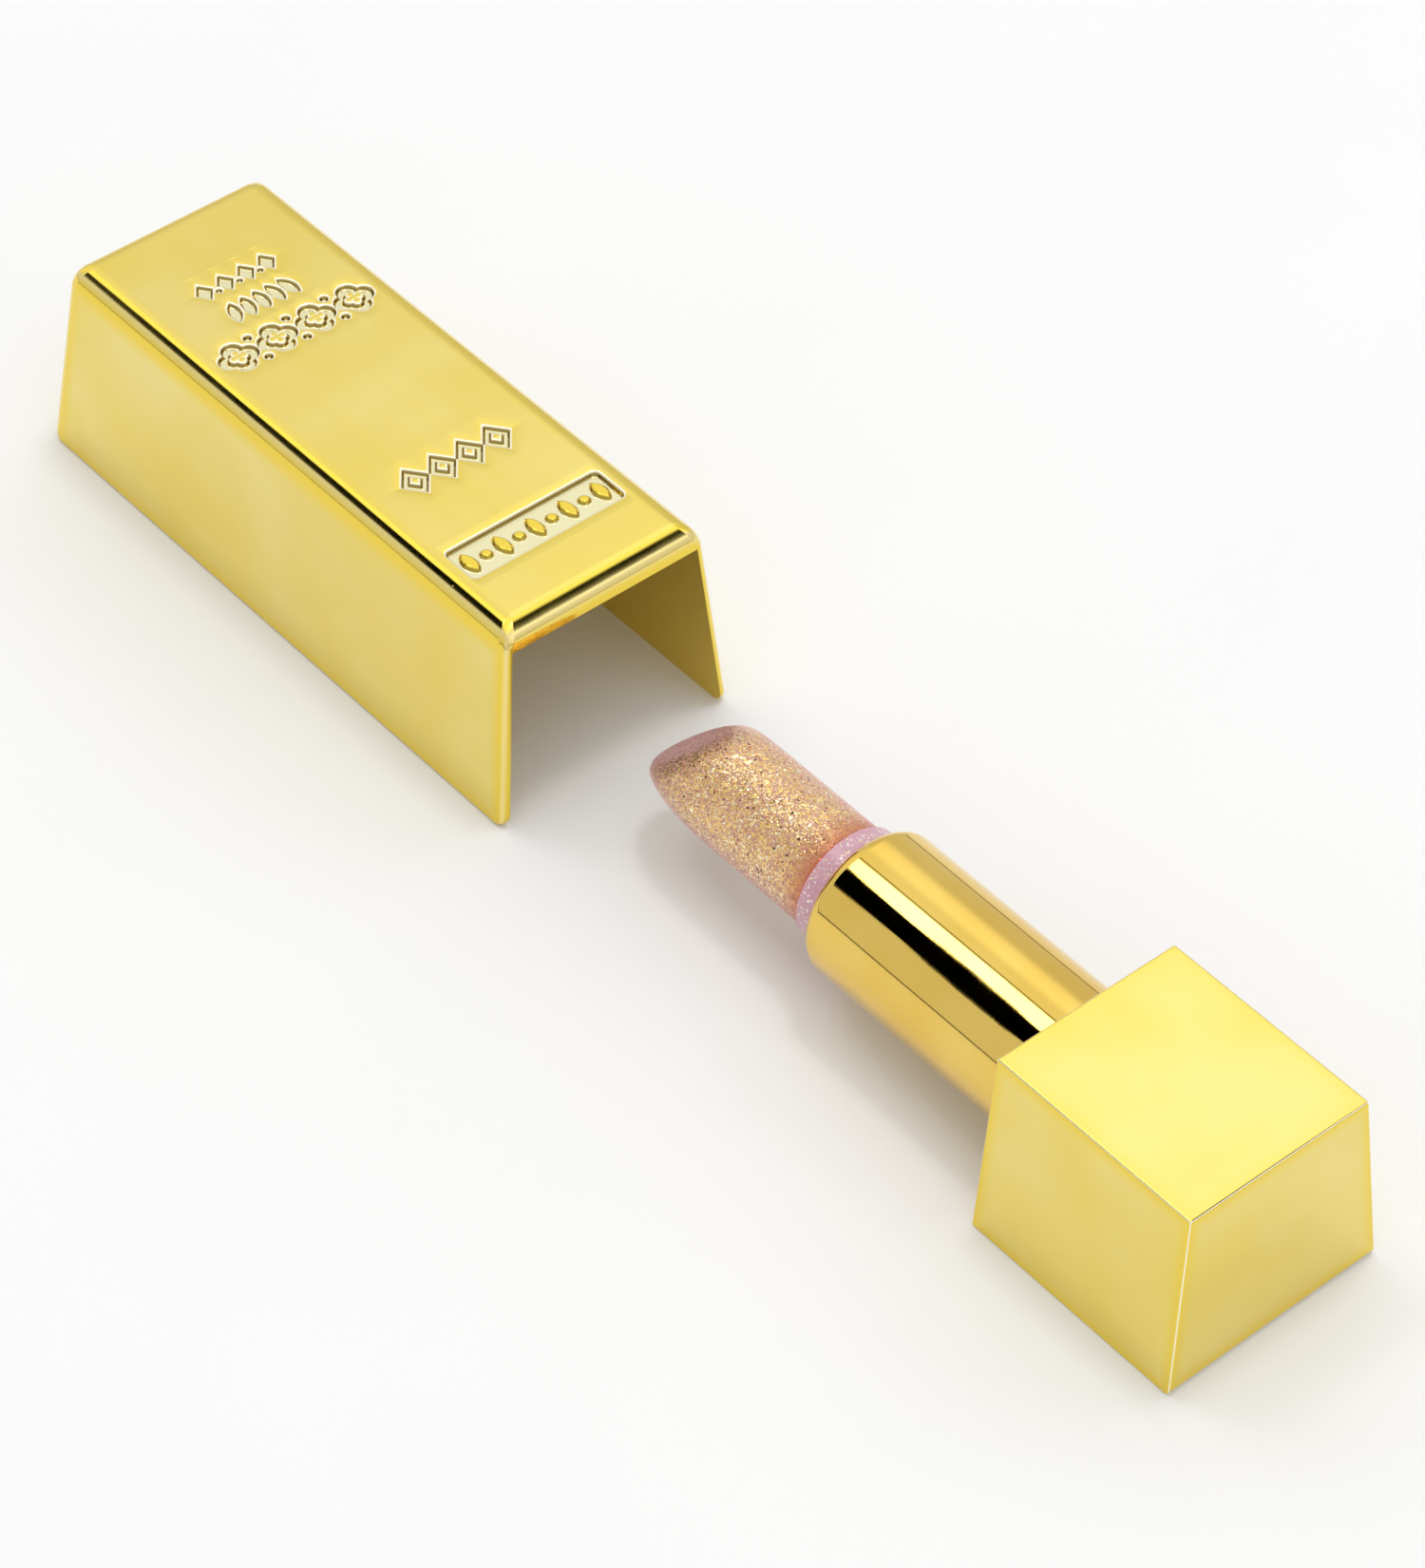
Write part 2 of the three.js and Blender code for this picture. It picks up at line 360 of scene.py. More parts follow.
def lozenge(x, y, half_x, half_y):
    return (np.abs(x) / half_x + np.abs(y) / half_y - 1) * half_x * half_y / math.hypot(half_x, half_y)


def rounded_bar(x, y, half_x, half_y, radius):
    dx = np.abs(x) - half_x + radius
    dy = np.abs(y) - half_y + radius
    return np.hypot(np.maximum(dx, 0), np.maximum(dy, 0)) + np.minimum(np.maximum(dx, dy), 0) - radius


def leaf(x, y, half_x, half_y):
    """Two arcs that meet in points at the ends of x."""
    offset = (half_x**2 - half_y**2) / (2 * half_y)
    return np.hypot(x, np.abs(y) + offset) - (offset + half_y)


def quatrefoil(x, y, size):
    half = size / 2
    shape = disc(x, y, half)
    for a, b in ((1, 0), (-1, 0), (0, 1), (0, -1)):
        shape = np.minimum(shape, disc(x - a * half, y - b * half, half))
    return shape


def turned_by(x, y, degrees):
    c, s = math.cos(math.radians(degrees)), math.sin(math.radians(degrees))
    return x * c + y * s, y * c - x * s


FOUR = (-1.5, -0.5, 0.5, 1.5)  # places of four shapes in a row across the top, in steps
BETWEEN = (-1, 0, 1)  # and of what stands between them


def small_row(x, y):
    """Solid lozenges with dots between them."""
    step = 2.7
    shapes = [lozenge(x, y - k * step, 1.35, 1.0) for k in FOUR]
    shapes += [disc(x - 0.75, y - k * step, 0.3) for k in BETWEEN]
    return np.minimum.reduce(shapes)


def leaf_row(x, y):
    """Leaves side by side, the outer ones leaning in a little."""
    step, lean = 1.75, 7
    shapes = []
    for k in (-2, -1, 0, 1, 2):
        u, v = turned_by(x, y - k * step, k * lean)
        shapes.append(leaf(u, v, 1.6, 0.66))
    return np.minimum.reduce(shapes)


def large_row(x, y):
    """Quatrefoils drawn as broad bands, with dots between them."""
    step = 5.0
    shapes = []
    for k in FOUR:
        across = y - k * step
        shapes.append(np.maximum(quatrefoil(x, across, 2.35), -quatrefoil(x, across, 1.2)))
    shapes += [disc(x - side * 1.9, y - k * step, 0.42) for k in BETWEEN for side in (1, -1)]
    return np.minimum.reduce(shapes)


def framed_row(x, y):
    """Sunk lozenges with a raised one inside each."""
    step = 3.5
    shapes = []
    for k in FOUR:
        across = y - k * step
        outer = lozenge(x, across, 2.15, 1.7)
        shapes.append(np.maximum(outer, -lozenge(x, across, 0.95, 0.75)))
    return np.minimum.reduce(shapes)


def plaque_relief(x, y):
    """Raised ornament standing in the sunk plaque: leaves and beads in turn."""
    step = 2.1
    shapes = []
    for k in range(-4, 5):
        across = y - k * step
        shapes.append(leaf(x, across, 1.6, 0.78) if k % 2 == 0 else disc(x, across, 0.66))
    return np.minimum.reduce(shapes)


def share_inside(distance, wall):
    """1 inside a shape and 0 outside it, smooth across a wall of the given width at its outline."""
    t = np.clip((wall * WALL_OUTSIDE - distance) / wall, 0, 1)
    return t * t * (3 - 2 * t)


# Distance of each row from the cap's closed end, its half length along X, its shape and its depth.
MARK_ROWS = (
    (13.0, 1.4, small_row, 0.36),
    (17.7, 1.6, leaf_row, 0.36),
    (23.8, 2.7, large_row, 0.5),
    (50.9, 2.2, framed_row, 0.42),
)
PLAQUE_AT = 63.9
PLAQUE_HALF = (2.45, 9.75)
PLAQUE_CORNER = 0.6
PLAQUE_DEPTH = 0.55
FIGURE_HEIGHT = 0.42  # of the raised ornament in the plaque
FIGURE_WALL = 0.4
FIGURE_SHADE = 0.7  # how dark the painted shade on the raised ornament's walls is beside the other walls
MARK_HALF_WIDTH = 10.05  # of the stamped part of the top
MARK_MARGIN = 1.3  # of close grid lines before and after each row
GRID_STEP = 0.09
LEAST_STEP = 0.036  # grid lines closer than this become one
DISH = 0.08  # how far the top sinks towards a mark's edge
DISH_REACH = 0.6
WALL = 0.34  # width of a mark's sloping wall
WALL_OUTSIDE = 0.35  # share of a wall that lies outside its mark's outline
OUTLINE = 0.1  # half width of the pale line round a mark, a painted highlight
OUTLINE_AT = 0.45  # how far outside the mark it runs, in wall widths


def relief(x, y):
    """The stamped top, where x counts from the closed end, in mm: its height above the plane, then how far
    each point belongs to a mark's rich surround, pale outline painted as a highlight, pale floor and dark
    wall painted as shade."""
    height = np.zeros_like(x)
    nearest = np.full_like(x, np.inf)
    sunk = np.zeros_like(x)
    wall = np.zeros_like(x)
    plaque = rounded_bar(x - PLAQUE_AT, y, *PLAQUE_HALF, PLAQUE_CORNER)
    stamps = [(shape(x - at, y), depth) for at, _, shape, depth in MARK_ROWS] + [(plaque, PLAQUE_DEPTH)]
    for distance, depth in stamps:
        share = share_inside(distance, WALL)
        nearest = np.minimum(nearest, distance)
        height -= share * depth
        sunk += share
        # the dark wall value is painted shade on each mark's sloping wall
        wall += 4 * share * (1 - share)
    share = share_inside(plaque_relief(x - PLAQUE_AT, y), FIGURE_WALL)
    height += share * FIGURE_HEIGHT
    sunk -= share
    # and painted shade on the raised ornament's walls
    wall += 4 * share * (1 - share) * FIGURE_SHADE
    halo = np.exp(-np.maximum(nearest, 0) / DISH_REACH)
    # the pale outline round each mark is a painted highlight, carried on the worn line's layer
    outline = np.exp(-(((nearest - WALL * OUTLINE_AT) / OUTLINE) ** 2))
    deepest_quarter = np.clip(sunk * 4 - 3, 0, 1)
    return height - DISH * halo, halo, outline, deepest_quarter, np.clip(wall, 0, 1)


def grid_lines(low, high, bands):
    """Grid lines from low to high: close inside the bands, far apart between them."""
    lines = [np.array([low, high])]
    for a, b in bands:
        lines.append(np.linspace(a, b, round((b - a) / GRID_STEP) + 1))
    joined = np.unique(np.round(np.concatenate(lines), 4))
    return joined[np.concatenate([[True], np.diff(joined) > LEAST_STEP])]


def remove_top(bm, top_z):
    """Removes the flat top, the largest face at height top_z, and gives its corners."""
    tops = [f for f in bm.faces if all(abs(v.co.z - top_z) < TINY for v in f.verts)]
    top = max(tops, key=lambda f: f.calc_area())
    corners = list(top.verts)
    bm.faces.remove(top)
    return corners


def relief_grid(bm, closed_x, top_z):
    """Adds the stamped part of the top as rows of painted points with faces between them."""
    bands = [(at - half - MARK_MARGIN, at + half + MARK_MARGIN) for at, half, _, _ in MARK_ROWS]
    bands.append((PLAQUE_AT - PLAQUE_HALF[0] - MARK_MARGIN, PLAQUE_AT + PLAQUE_HALF[0] + MARK_MARGIN))
    xs = grid_lines(bands[0][0], bands[-1][1], bands)
    ys = grid_lines(-MARK_HALF_WIDTH, MARK_HALF_WIDTH, [(-MARK_HALF_WIDTH, MARK_HALF_WIDTH)])
    z, *paint = relief(*np.meshgrid(xs, ys, indexing="ij"))
    for edge in (z[0], z[-1], z[:, 0], z[:, -1]):
        edge[:] = 0
    layers = [bm.verts.layers.float[name] for name in PAINTED]
    grid = []
    for i, x in enumerate(xs):
        grid.append([bm.verts.new((closed_x - x * MM, y * MM, top_z + h * MM)) for y, h in zip(ys, z[i])])
        for layer, values in zip(layers, paint):
            for v, value in zip(grid[-1], values[i]):
                v[layer] = value
    for near, far in zip(grid, grid[1:]):
        for j in range(len(ys) - 1):
            bm.faces.new((near[j], near[j + 1], far[j + 1], far[j]))
    return grid


def frame_grid(bm, grid, corners):
    """Fills the top between the grid and the corners with four flat faces."""
    sides = (
        [row[-1] for row in grid],
        list(reversed(grid[-1])),
        [row[0] for row in reversed(grid)],
        grid[0],
    )
    for side in sides:
        ends = [min(corners, key=lambda c: (c.co - v.co).length) for v in (side[0], side[-1])]
        bm.faces.new([ends[0], *side, ends[1]])


def stamp_top(made, closed_x):
    """Replaces the inside of the flat top with a fine relief."""
    bm = bmesh.new()
    bm.from_mesh(made.data)
    top_z = max(v.co.z for v in bm.verts)
    corners = remove_top(bm, top_z)
    frame_grid(bm, relief_grid(bm, closed_x, top_z), corners)
    bmesh.ops.recalc_face_normals(bm, faces=bm.faces)
    bm.to_mesh(made.data)
    bm.free()


def paint_edges(made, margin, wear_and_highlight, plain_top=True):
    """Paints the margin of each broad face as rich, and the line along each rounded edge as worn, with a
    painted highlight.
    """
    bm = bmesh.new()
    bm.from_mesh(made.data)
    layers = [bm.verts.layers.float.new(name) for name in PAINTED]
    tone, worn_and_highlight = layers[:2]
    bm.normal_update()
    large = [f for f in bm.faces if f.calc_area() > BROAD_AREA * MM**2]
    broad = [f for f in large if len(f.verts) <= BROAD_CORNERS]
    normals = [f.normal.copy() for f in broad]
    for v in bm.verts:
        bend = 1 - max(v.normal.dot(n) for n in normals)
        v[tone] = TOP_TONE if v.normal.z > FACES_UP else 1
        # the worn line along a rounded edge is wear and also a painted highlight
        v[worn_and_highlight] = wear_and_highlight * min(1, max(0, (bend - WEAR_AND_HIGHLIGHT_BEND) / WEAR_AND_HIGHLIGHT_SPREAD))
    if not plain_top:
        broad.remove(max(broad, key=lambda f: f.calc_center_median().z))
    bmesh.ops.inset_individual(bm, faces=broad, thickness=margin * MM, use_even_offset=True)
    for f in broad:
        for v in f.verts:
            v[tone] = 0
            v[worn_and_highlight] = 0
    bm.to_mesh(made.data)
    bm.free()


# ---- materials ----
def material_of(name, **values):
    """A material whose Principled shader has these constants. _ in a name stands for a space."""
    made = bpy.data.materials.new(name)
    made.use_nodes = True
    shader = made.node_tree.nodes["Principled BSDF"]
    for socket, value in values.items():
        shader.inputs[socket.replace("_", " ")].default_value = value
    return made, shader


def node(tree, kind, inputs=(), **settings):
    """Adds a node. inputs are (socket, value or output) pairs."""
    made = tree.nodes.new(kind)
    for name, value in settings.items():
        setattr(made, name, value)
    for socket, value in inputs:
        if isinstance(value, bpy.types.NodeSocket):
            tree.links.new(value, made.inputs[socket])
        else:
            made.inputs[socket].default_value = value
    return made


def local_coordinates(tree):
    return node(tree, "ShaderNodeTexCoord").outputs["Object"]


def noise(tree, feature_mm, detail=2.0):
    """A noise whose blobs are about feature_mm across."""
    inputs = [("Vector", local_coordinates(tree)), ("Scale", 1 / (feature_mm * MM)), ("Detail", detail)]
    return node(tree, "ShaderNodeTexNoise", inputs).outputs["Fac"]


def ramp(tree, factor, *stops):
    """A colour ramp. Each stop is (position, red, green, blue)."""
    made = node(tree, "ShaderNodeValToRGB", [("Fac", factor)])
    elements = made.color_ramp.elements
    while len(elements) < len(stops):
        elements.new(0.5)
    for element, (position, *colour) in zip(elements, stops):
        element.position = position
        element.color = (*colour, 1)
    return made.outputs["Color"]


def remap(tree, value, a, b, low, high, smooth=False):
    """value from a..b to low..high, clamped."""
    inputs = [("Value", value), ("From Min", a), ("From Max", b), ("To Min", low), ("To Max", high)]
    kind = "SMOOTHSTEP" if smooth else "LINEAR"
    return node(tree, "ShaderNodeMapRange", inputs, interpolation_type=kind).outputs["Result"]


def above(tree, value, limit, blur=0.02):
    """0 up to the limit and 1 from a blur above it."""
    return remap(tree, value, limit, limit + blur, 0, 1)


def uneven(tree, feature_mm, low, high, detail=2.0):
    """A value that wanders between low and high in blobs about feature_mm across."""
    return remap(tree, noise(tree, feature_mm, detail), 0.3, 0.7, low, high)


def combine(tree, operation, a, b):
    return node(tree, "ShaderNodeMath", [(0, a), (1, b)], operation=operation).outputs["Value"]


def vector_math(tree, operation, *inputs):
    return node(tree, "ShaderNodeVectorMath", inputs, operation=operation).outputs["Vector"]


def bump(tree, height, distance_mm, normal=None):
    inputs = [("Height", height), ("Distance", distance_mm * MM), ("Strength", 1.0)]
    if normal is not None:
        inputs.append(("Normal", normal))
    return node(tree, "ShaderNodeBump", inputs).outputs["Normal"]


def painted(tree, name):
    return node(tree, "ShaderNodeAttribute", attribute_name=name).outputs["Fac"]


def channel(tree, colour, name):
    return node(tree, "ShaderNodeSeparateColor", [("Color", colour)]).outputs[name]


def mixed_colour(tree, factor, a, b):
    made = node(tree, "ShaderNodeMix", [("Factor", factor)], data_type="RGBA")
    for socket, value in zip(MIX_COLOURS, (a, b)):
        if isinstance(value, bpy.types.NodeSocket):
            tree.links.new(value, made.inputs[socket])
        else:
            made.inputs[socket].default_value = (*value, 1)
    return made.outputs[MIX_RESULT]


def finished(made, shader, **outputs):
    """Links outputs to the shader's sockets. _ in a name stands for a space."""
    for socket, output in outputs.items():
        made.node_tree.links.new(output, shader.inputs[socket.replace("_", " ")])
    return made


MIX_COLOURS = (6, 7)  # a Mix node's two colour inputs, after those for numbers and vectors
MIX_RESULT = 2  # and its colour output
FLOOR_GOLD = (0.82, 0.77, 0.47)
# dark brown: painted shade on the walls of stamped marks
PAINTED_SHADE_GOLD = (0.20, 0.125, 0.02)
# pale cream: a painted highlight on worn edge lines and on the outlines round stamped marks
PAINTED_HIGHLIGHT_GOLD = (0.99, 0.95, 0.80)
SPECK_CELLS = 420  # cells in a metre, of which a tenth hold a speck
# Colours of the gold flakes from shaded to gleaming: place on the ramp, red, green and blue.
FLAKE_GOLD = (
    (0.05, 0.13, 0.05, 0.04),
    (0.08, 0.52, 0.22, 0.09),
    (0.2, 0.82, 0.49, 0.15),
    (0.7, 0.98, 0.70, 0.24),
    (0.95, 1.0, 0.92, 0.66),
)
# deeper red near the cup's rim: red in the wax and painted shade
WAX_FOOT_RED_AND_SHADE = (0.55, 0.16, 0.06)
WAX_SEAM = (0.55, 0.06, 0.06)


def few_specks(tree):
    """1 at the centres of a few cells."""
    inputs = [("Vector", local_coordinates(tree)), ("Scale", SPECK_CELLS)]
    cells = node(tree, "ShaderNodeTexVoronoi", inputs)
    centre = remap(tree, cells.outputs["Distance"], 0.03, 0.06, 1, 0)
    chosen = above(tree, channel(tree, cells.outputs["Color"], "Red"), 0.9, 0.01)
    return combine(tree, "MULTIPLY", centre, chosen)


def gold(name, polish, dull, bright, rich):
    """Vacuum-plated plastic: a gold mirror under lacquer, richer towards its edges, with worn edge lines and
    mark outlines painted pale as highlights, paler stamped floors, stamped walls painted dark as shade,
    faint waves and a few specks."""
    made, shader = material_of(name, Metallic=1.0, Coat_Weight=0.2, Coat_Roughness=0.03, Coat_IOR=1.5)
    tree = made.node_tree
    flat = ramp(tree, noise(tree, 14), (0.3, *dull), (0.7, *bright))
    colour = mixed_colour(tree, painted(tree, "tone"), flat, rich)
    # the worn line and the outlines take a painted highlight, the stamped walls take painted shade
    for layer, tint in (("stamped", FLOOR_GOLD), ("wall", PAINTED_SHADE_GOLD), ("worn_and_highlight", PAINTED_HIGHLIGHT_GOLD)):
        colour = mixed_colour(tree, painted(tree, layer), colour, tint)
    speck = few_specks(tree)
    haze = uneven(tree, 4, polish, polish + 0.03, detail=3)
    rubbed = combine(tree, "MULTIPLY", painted(tree, "worn_and_highlight"), 0.3)
    frosted = combine(tree, "MULTIPLY", painted(tree, "stamped"), 0.12)
    roughness = haze
    for rougher in (rubbed, frosted, speck):
        roughness = combine(tree, "ADD", roughness, rougher)
    waves = bump(tree, noise(tree, 6, 1), 0.012)
    grain = bump(tree, noise(tree, 0.5), 0.0006, waves)
    pitted = bump(tree, speck, -0.02, grain)
    return finished(made, shader, Base_Color=colour, Roughness=roughness, Normal=pitted)


def moulded_plastic(name, colour):
    made, shader = material_of(name, Base_Color=(*colour, 1), Subsurface_Weight=0.08, Subsurface_Scale=0.002)
    tree = made.node_tree
    darker = [0.93 * c for c in colour]
    tone = ramp(tree, noise(tree, 5, 3), (0.35, *darker), (0.65, *colour))
    roughness = uneven(tree, 1.2, 0.42, 0.54)
    grain = bump(tree, noise(tree, 0.25), 0.004)
    return finished(made, shader, Base_Color=tone, Roughness=roughness, Normal=grain)


def soft_rubber(name):
    made, shader = material_of(name, Specular_IOR_Level=0.35)
    tree = made.node_tree
    tone = ramp(tree, noise(tree, 1.5, 4), (0.35, 0.028, 0.028, 0.03), (0.65, 0.05, 0.05, 0.052))
    roughness = uneven(tree, 0.6, 0.62, 0.8)
    grain = bump(tree, noise(tree, 0.12), 0.006)
    return finished(made, shader, Base_Color=tone, Roughness=roughness, Normal=grain)


def cast_steel(name):
    made, shader = material_of(name, Metallic=1.0)
    tree = made.node_tree
    tone = ramp(tree, noise(tree, 2, 5), (0.3, 0.24, 0.24, 0.25), (0.7, 0.42, 0.42, 0.43))
    roughness = uneven(tree, 0.8, 0.3, 0.55, detail=3)
    grain = bump(tree, noise(tree, 0.4, 4), 0.02)
    return finished(made, shader, Base_Color=tone, Roughness=roughness, Normal=grain)


def flakes(tree, size_mm):
    """Cells of glitter: each has its own random colour, whose channels choose and tilt the flake."""
    inputs = [("Vector", local_coordinates(tree)), ("Scale", 1 / (size_mm * MM))]
    return node(tree, "ShaderNodeTexVoronoi", inputs).outputs["Color"]


def tilted_normal(tree, cell_colour, tilt):
    """The surface's normal leaned over by a cell's random colour."""
    centred = vector_math(tree, "SUBTRACT", (0, cell_colour), (1, (0.5, 0.5, 0.5)))
    lean = vector_math(tree, "SCALE", (0, centred), ("Scale", tilt))
    normal = node(tree, "ShaderNodeNewGeometry").outputs["Normal"]
    return vector_math(tree, "NORMALIZE", (0, vector_math(tree, "ADD", (0, normal), (1, lean))))


def glitter_wax(name, foot_x):
    """Clear pinkish gel, thick with gold flakes of two sizes, redder and darker towards the cup's rim at
    foot_x: red in the wax and painted shade.
    """
    made, shader = material_of(
        name,
        Subsurface_Weight=0.2,
        Subsurface_Scale=0.0012,
        Coat_Weight=0.35,
        Coat_Roughness=0.3,
        Sheen_Weight=0.65,
        Sheen_Roughness=0.35,
        Sheen_Tint=(0.85, 0.45, 0.72, 1),
    )
    tree = made.node_tree
    fine, coarse = flakes(tree, 0.12), flakes(tree, 0.24)
    use_coarse = above(tree, channel(tree, coarse, "Green"), 0.74)
    cell = mixed_colour(tree, use_coarse, fine, coarse)
    is_flake = above(tree, channel(tree, cell, "Red"), 0.38)
    gel = ramp(tree, noise(tree, 3, 3), (0.3, 0.52, 0.24, 0.17), (0.7, 0.62, 0.33, 0.23))
    colour = mixed_colour(tree, is_flake, gel, ramp(tree, channel(tree, cell, "Blue"), *FLAKE_GOLD))
    along = node(tree, "ShaderNodeSeparateXYZ", [("Vector", local_coordinates(tree))]).outputs["X"]
    # towards the foot the wax is redder and painted darker, as shade from the cup's rim
    redness_and_shade = remap(tree, along, foot_x, foot_x + 4 * MM, 0.85, 0, smooth=True)
    seam = remap(tree, along, foot_x + 0.15 * MM, foot_x + 0.5 * MM, 1, 0, smooth=True)
    colour = mixed_colour(tree, redness_and_shade, colour, WAX_FOOT_RED_AND_SHADE)
    colour = mixed_colour(tree, seam, colour, WAX_SEAM)
    metal = combine(tree, "MULTIPLY", is_flake, 0.9)
    roughness = remap(tree, is_flake, 0, 1, 0.5, 0.25)
    normal = tilted_normal(tree, cell, 0.6)
    return finished(made, shader, Base_Color=colour, Metallic=metal, Roughness=roughness, Normal=normal)


def lilac_plastic(name):
    """Translucent lilac plastic dusted with fine white and gold glitter."""
    made, shader = material_of(
        name,
        Subsurface_Weight=0.35,
        Subsurface_Scale=0.002,
        Coat_Weight=0.4,
        Coat_Roughness=0.1,
    )
    tree = made.node_tree
    cell = flakes(tree, 0.16)
    is_flake = above(tree, channel(tree, cell, "Red"), 0.9)
    body = ramp(tree, noise(tree, 3, 3), (0.3, 0.56, 0.28, 0.36), (0.7, 0.63, 0.36, 0.42))
    flake = ramp(tree, channel(tree, cell, "Blue"), (0.3, 0.95, 0.72, 0.4), (0.7, 1.0, 0.97, 0.95))
    colour = mixed_colour(tree, is_flake, body, flake)
    metal = combine(tree, "MULTIPLY", is_flake, 0.8)
    roughness = uneven(tree, 1, 0.25, 0.35)
    normal = tilted_normal(tree, cell, 0.25)
    return finished(made, shader, Base_Color=colour, Metallic=metal, Roughness=roughness, Normal=normal)


MIRROR = gold(
    "mirror_gold",
    polish=0.07,
    dull=(0.83, 0.66, 0.14),
    bright=(0.86, 0.71, 0.23),
    rich=(0.87, 0.65, 0.075),
)
COLLAR_GOLD = gold(
    "collar_gold",
    polish=0.035,
    dull=(0.80, 0.52, 0.085),
    bright=(0.85, 0.61, 0.15),
    rich=(0.86, 0.62, 0.12),
)
WHITE = moulded_plastic("white_plastic", (0.80, 0.78, 0.73))
RUBBER = soft_rubber("soft_rubber")
STEEL = cast_steel("cast_steel")
LILAC = lilac_plastic("lilac_plastic")
WAX = glitter_wax("glitter_wax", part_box("lipstick_cup")[1].x)


# ---- the cap ----
def cap_radius(height, end):
    if height == "high":
        return CAP_EDGE
    if height == "low":
        return CAP_FOOT if end else CAP_HEM
    return CAP_MOUTH_EDGE if end == "open" else CAP_CORNER


def hollow_out(made, lower, upper, heights, insets):
    """Cuts a block's inside out between two heights, with its ends and sides inset by these millimetres."""
    rectangles = [inset_rectangle(at_height(lower, upper, z), *insets) for z in heights]
    subtract(made, block("hollow", *rectangles))
    soften_rims(made)
    apply_modifiers(made)


def cap_case():
    """The ingot: rounded outside, hollow from below and from its open end, stamped on top."""
    lower, upper = outline("cap_shell")
    made = block("cap_case", lower, upper, cap_radius, SOFT_PROFILE)
    heights = (-OVERSHOOT * MM, upper[3] - WALLS["cap_top"] * MM)
    hollow_out(made, lower, upper, heights, (-OVERSHOOT, WALLS["cap_end"], WALLS["cap_side"]))
    paint_edges(made, margin=1.4, wear_and_highlight=0.3, plain_top=False)
    stamp_top(made, upper[1])
    shade(made, angle=50)
    place(made, "cap", MIRROR, "cap_shell")


# ---- the base ----
def base_radius(height, end):
    return BASE_HEEL if (height, end) == ("low", "open") else BASE_EDGE


def base_case():
    """The block held in the hand: open only at its inner face, where the collar comes out."""
    lower, upper = outline("base_shell")
    made = block("base_case", lower, upper, base_radius)
    wall = WALLS["base"]
    heights = (lower[3] + wall * MM, upper[3] - wall * MM)
    hollow_out(made, lower, upper, heights, (wall, -OVERSHOOT, wall))
    paint_edges(made, margin=1.3, wear_and_highlight=1.0)
    shade(made)
    place(made, "base", MIRROR, "base_shell")


# ---- the collar, the cup and the bullet ----
def collar():
    """A tube with a flange inside the base, a rounded shoulder and a lip turned in round the cup."""
    low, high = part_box("collar_shell")
    outer, inner, mouth = (COLLAR[name] * MM for name in ("outer", "inner", "mouth"))
    shoulder, lip, bead = (COLLAR[name] * MM for name in ("shoulder", "lip", "bead"))
    flange = (high.z - low.z) / 2
    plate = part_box("base_face_plate")[0].x - COLLAR["gap"] * MM
    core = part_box("base_core")[1].x + COLLAR["gap"] * MM
    bore_end = (high.x - lip, inner - COLLAR["chamfer"] * MM)
    points = [(low.x, inner), (low.x, outer), (core, outer), (core, flange), (plate, flange), (plate, outer)]
    points += arc(high.x - shoulder, outer - shoulder, shoulder, 90, 0, 16)
    points += arc(high.x - bead, mouth + bead, bead, 0, -90, 6)
    points += [(high.x - lip, mouth), bore_end, (high.x - shoulder, inner)]
    made = turned("collar_tube", points)
    shade(made)
    place(made, "collar", COLLAR_GOLD, "collar_shell")


def cup():
    """A cup with a rounded lip that holds the bullet's foot, and two pins near its own foot."""
    low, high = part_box("lipstick_cup")
    outer, inner, chamfer = (CUP[name] * MM for name in ("outer", "inner", "chamfer"))
    lip = (outer - inner) / 2
    floor_x = low.x + CUP["floor"] * MM
    points = [(low.x, 0), (low.x, outer - chamfer), (low.x + chamfer, outer)]
    points += arc(high.x - lip, outer - lip, lip, 90, -90, 8)
    points += [(floor_x, inner), (floor_x, 0)]
    made = turned("bullet_cup", points)
    join(made, *(cup_lug(side, high.y, low.x + CUP["lug_at"] * MM) for side in (1, -1)))
    shade(made)
    place(made, "carrier", LILAC, "lipstick_cup")


def cup_lug(side, reach, x):
    """One of the two pins that run in the fork's and the sleeve's slots."""
    radius, chamfer = CUP["lug_radius"] * MM, CUP["lug_chamfer"] * MM
    start = (CUP["outer"] + CUP["inner"]) / 2 * MM
    rings = ((start, radius), (reach - chamfer, radius), (reach, radius - chamfer))
    vertices = []
    for y, r in rings:
        for i in range(LUG_SIDES):
            angle = 2 * math.pi * i / LUG_SIDES
            vertices.append((x + r * math.cos(angle), side * y, AXIS_Z + r * math.sin(angle)))
    ends = [range(LUG_SIDES), range(2 * LUG_SIDES, 3 * LUG_SIDES)]
    return new_object("lug", vertices, ends + ring_faces(0, len(rings), LUG_SIDES))


def smooth_max(a, b, blend):
    overlap = np.maximum(blend - np.abs(a - b), 0)
    return np.maximum(a, b) + overlap**2 / (4 * blend)


def bullet_field(x, y, z):
    """Below 0 inside the bullet: a blunt ogive cut by a slanted plane. In mm from its foot on the axis."""
    along = np.clip((x - BULLET["nose_start"]) / BULLET["nose_length"], 0, 1)
    power = BULLET["bluntness"]
    radius = BULLET["radius"] * (1 - along**power) ** (1 / power)
    ogive = np.hypot(y, z) - radius
    tilt = math.radians(BULLET["cut_tilt"])
    plane = (x - BULLET["cut_at"]) * math.sin(tilt) + z * math.cos(tilt)
    return smooth_max(ogive, plane, BULLET["cut_edge"])


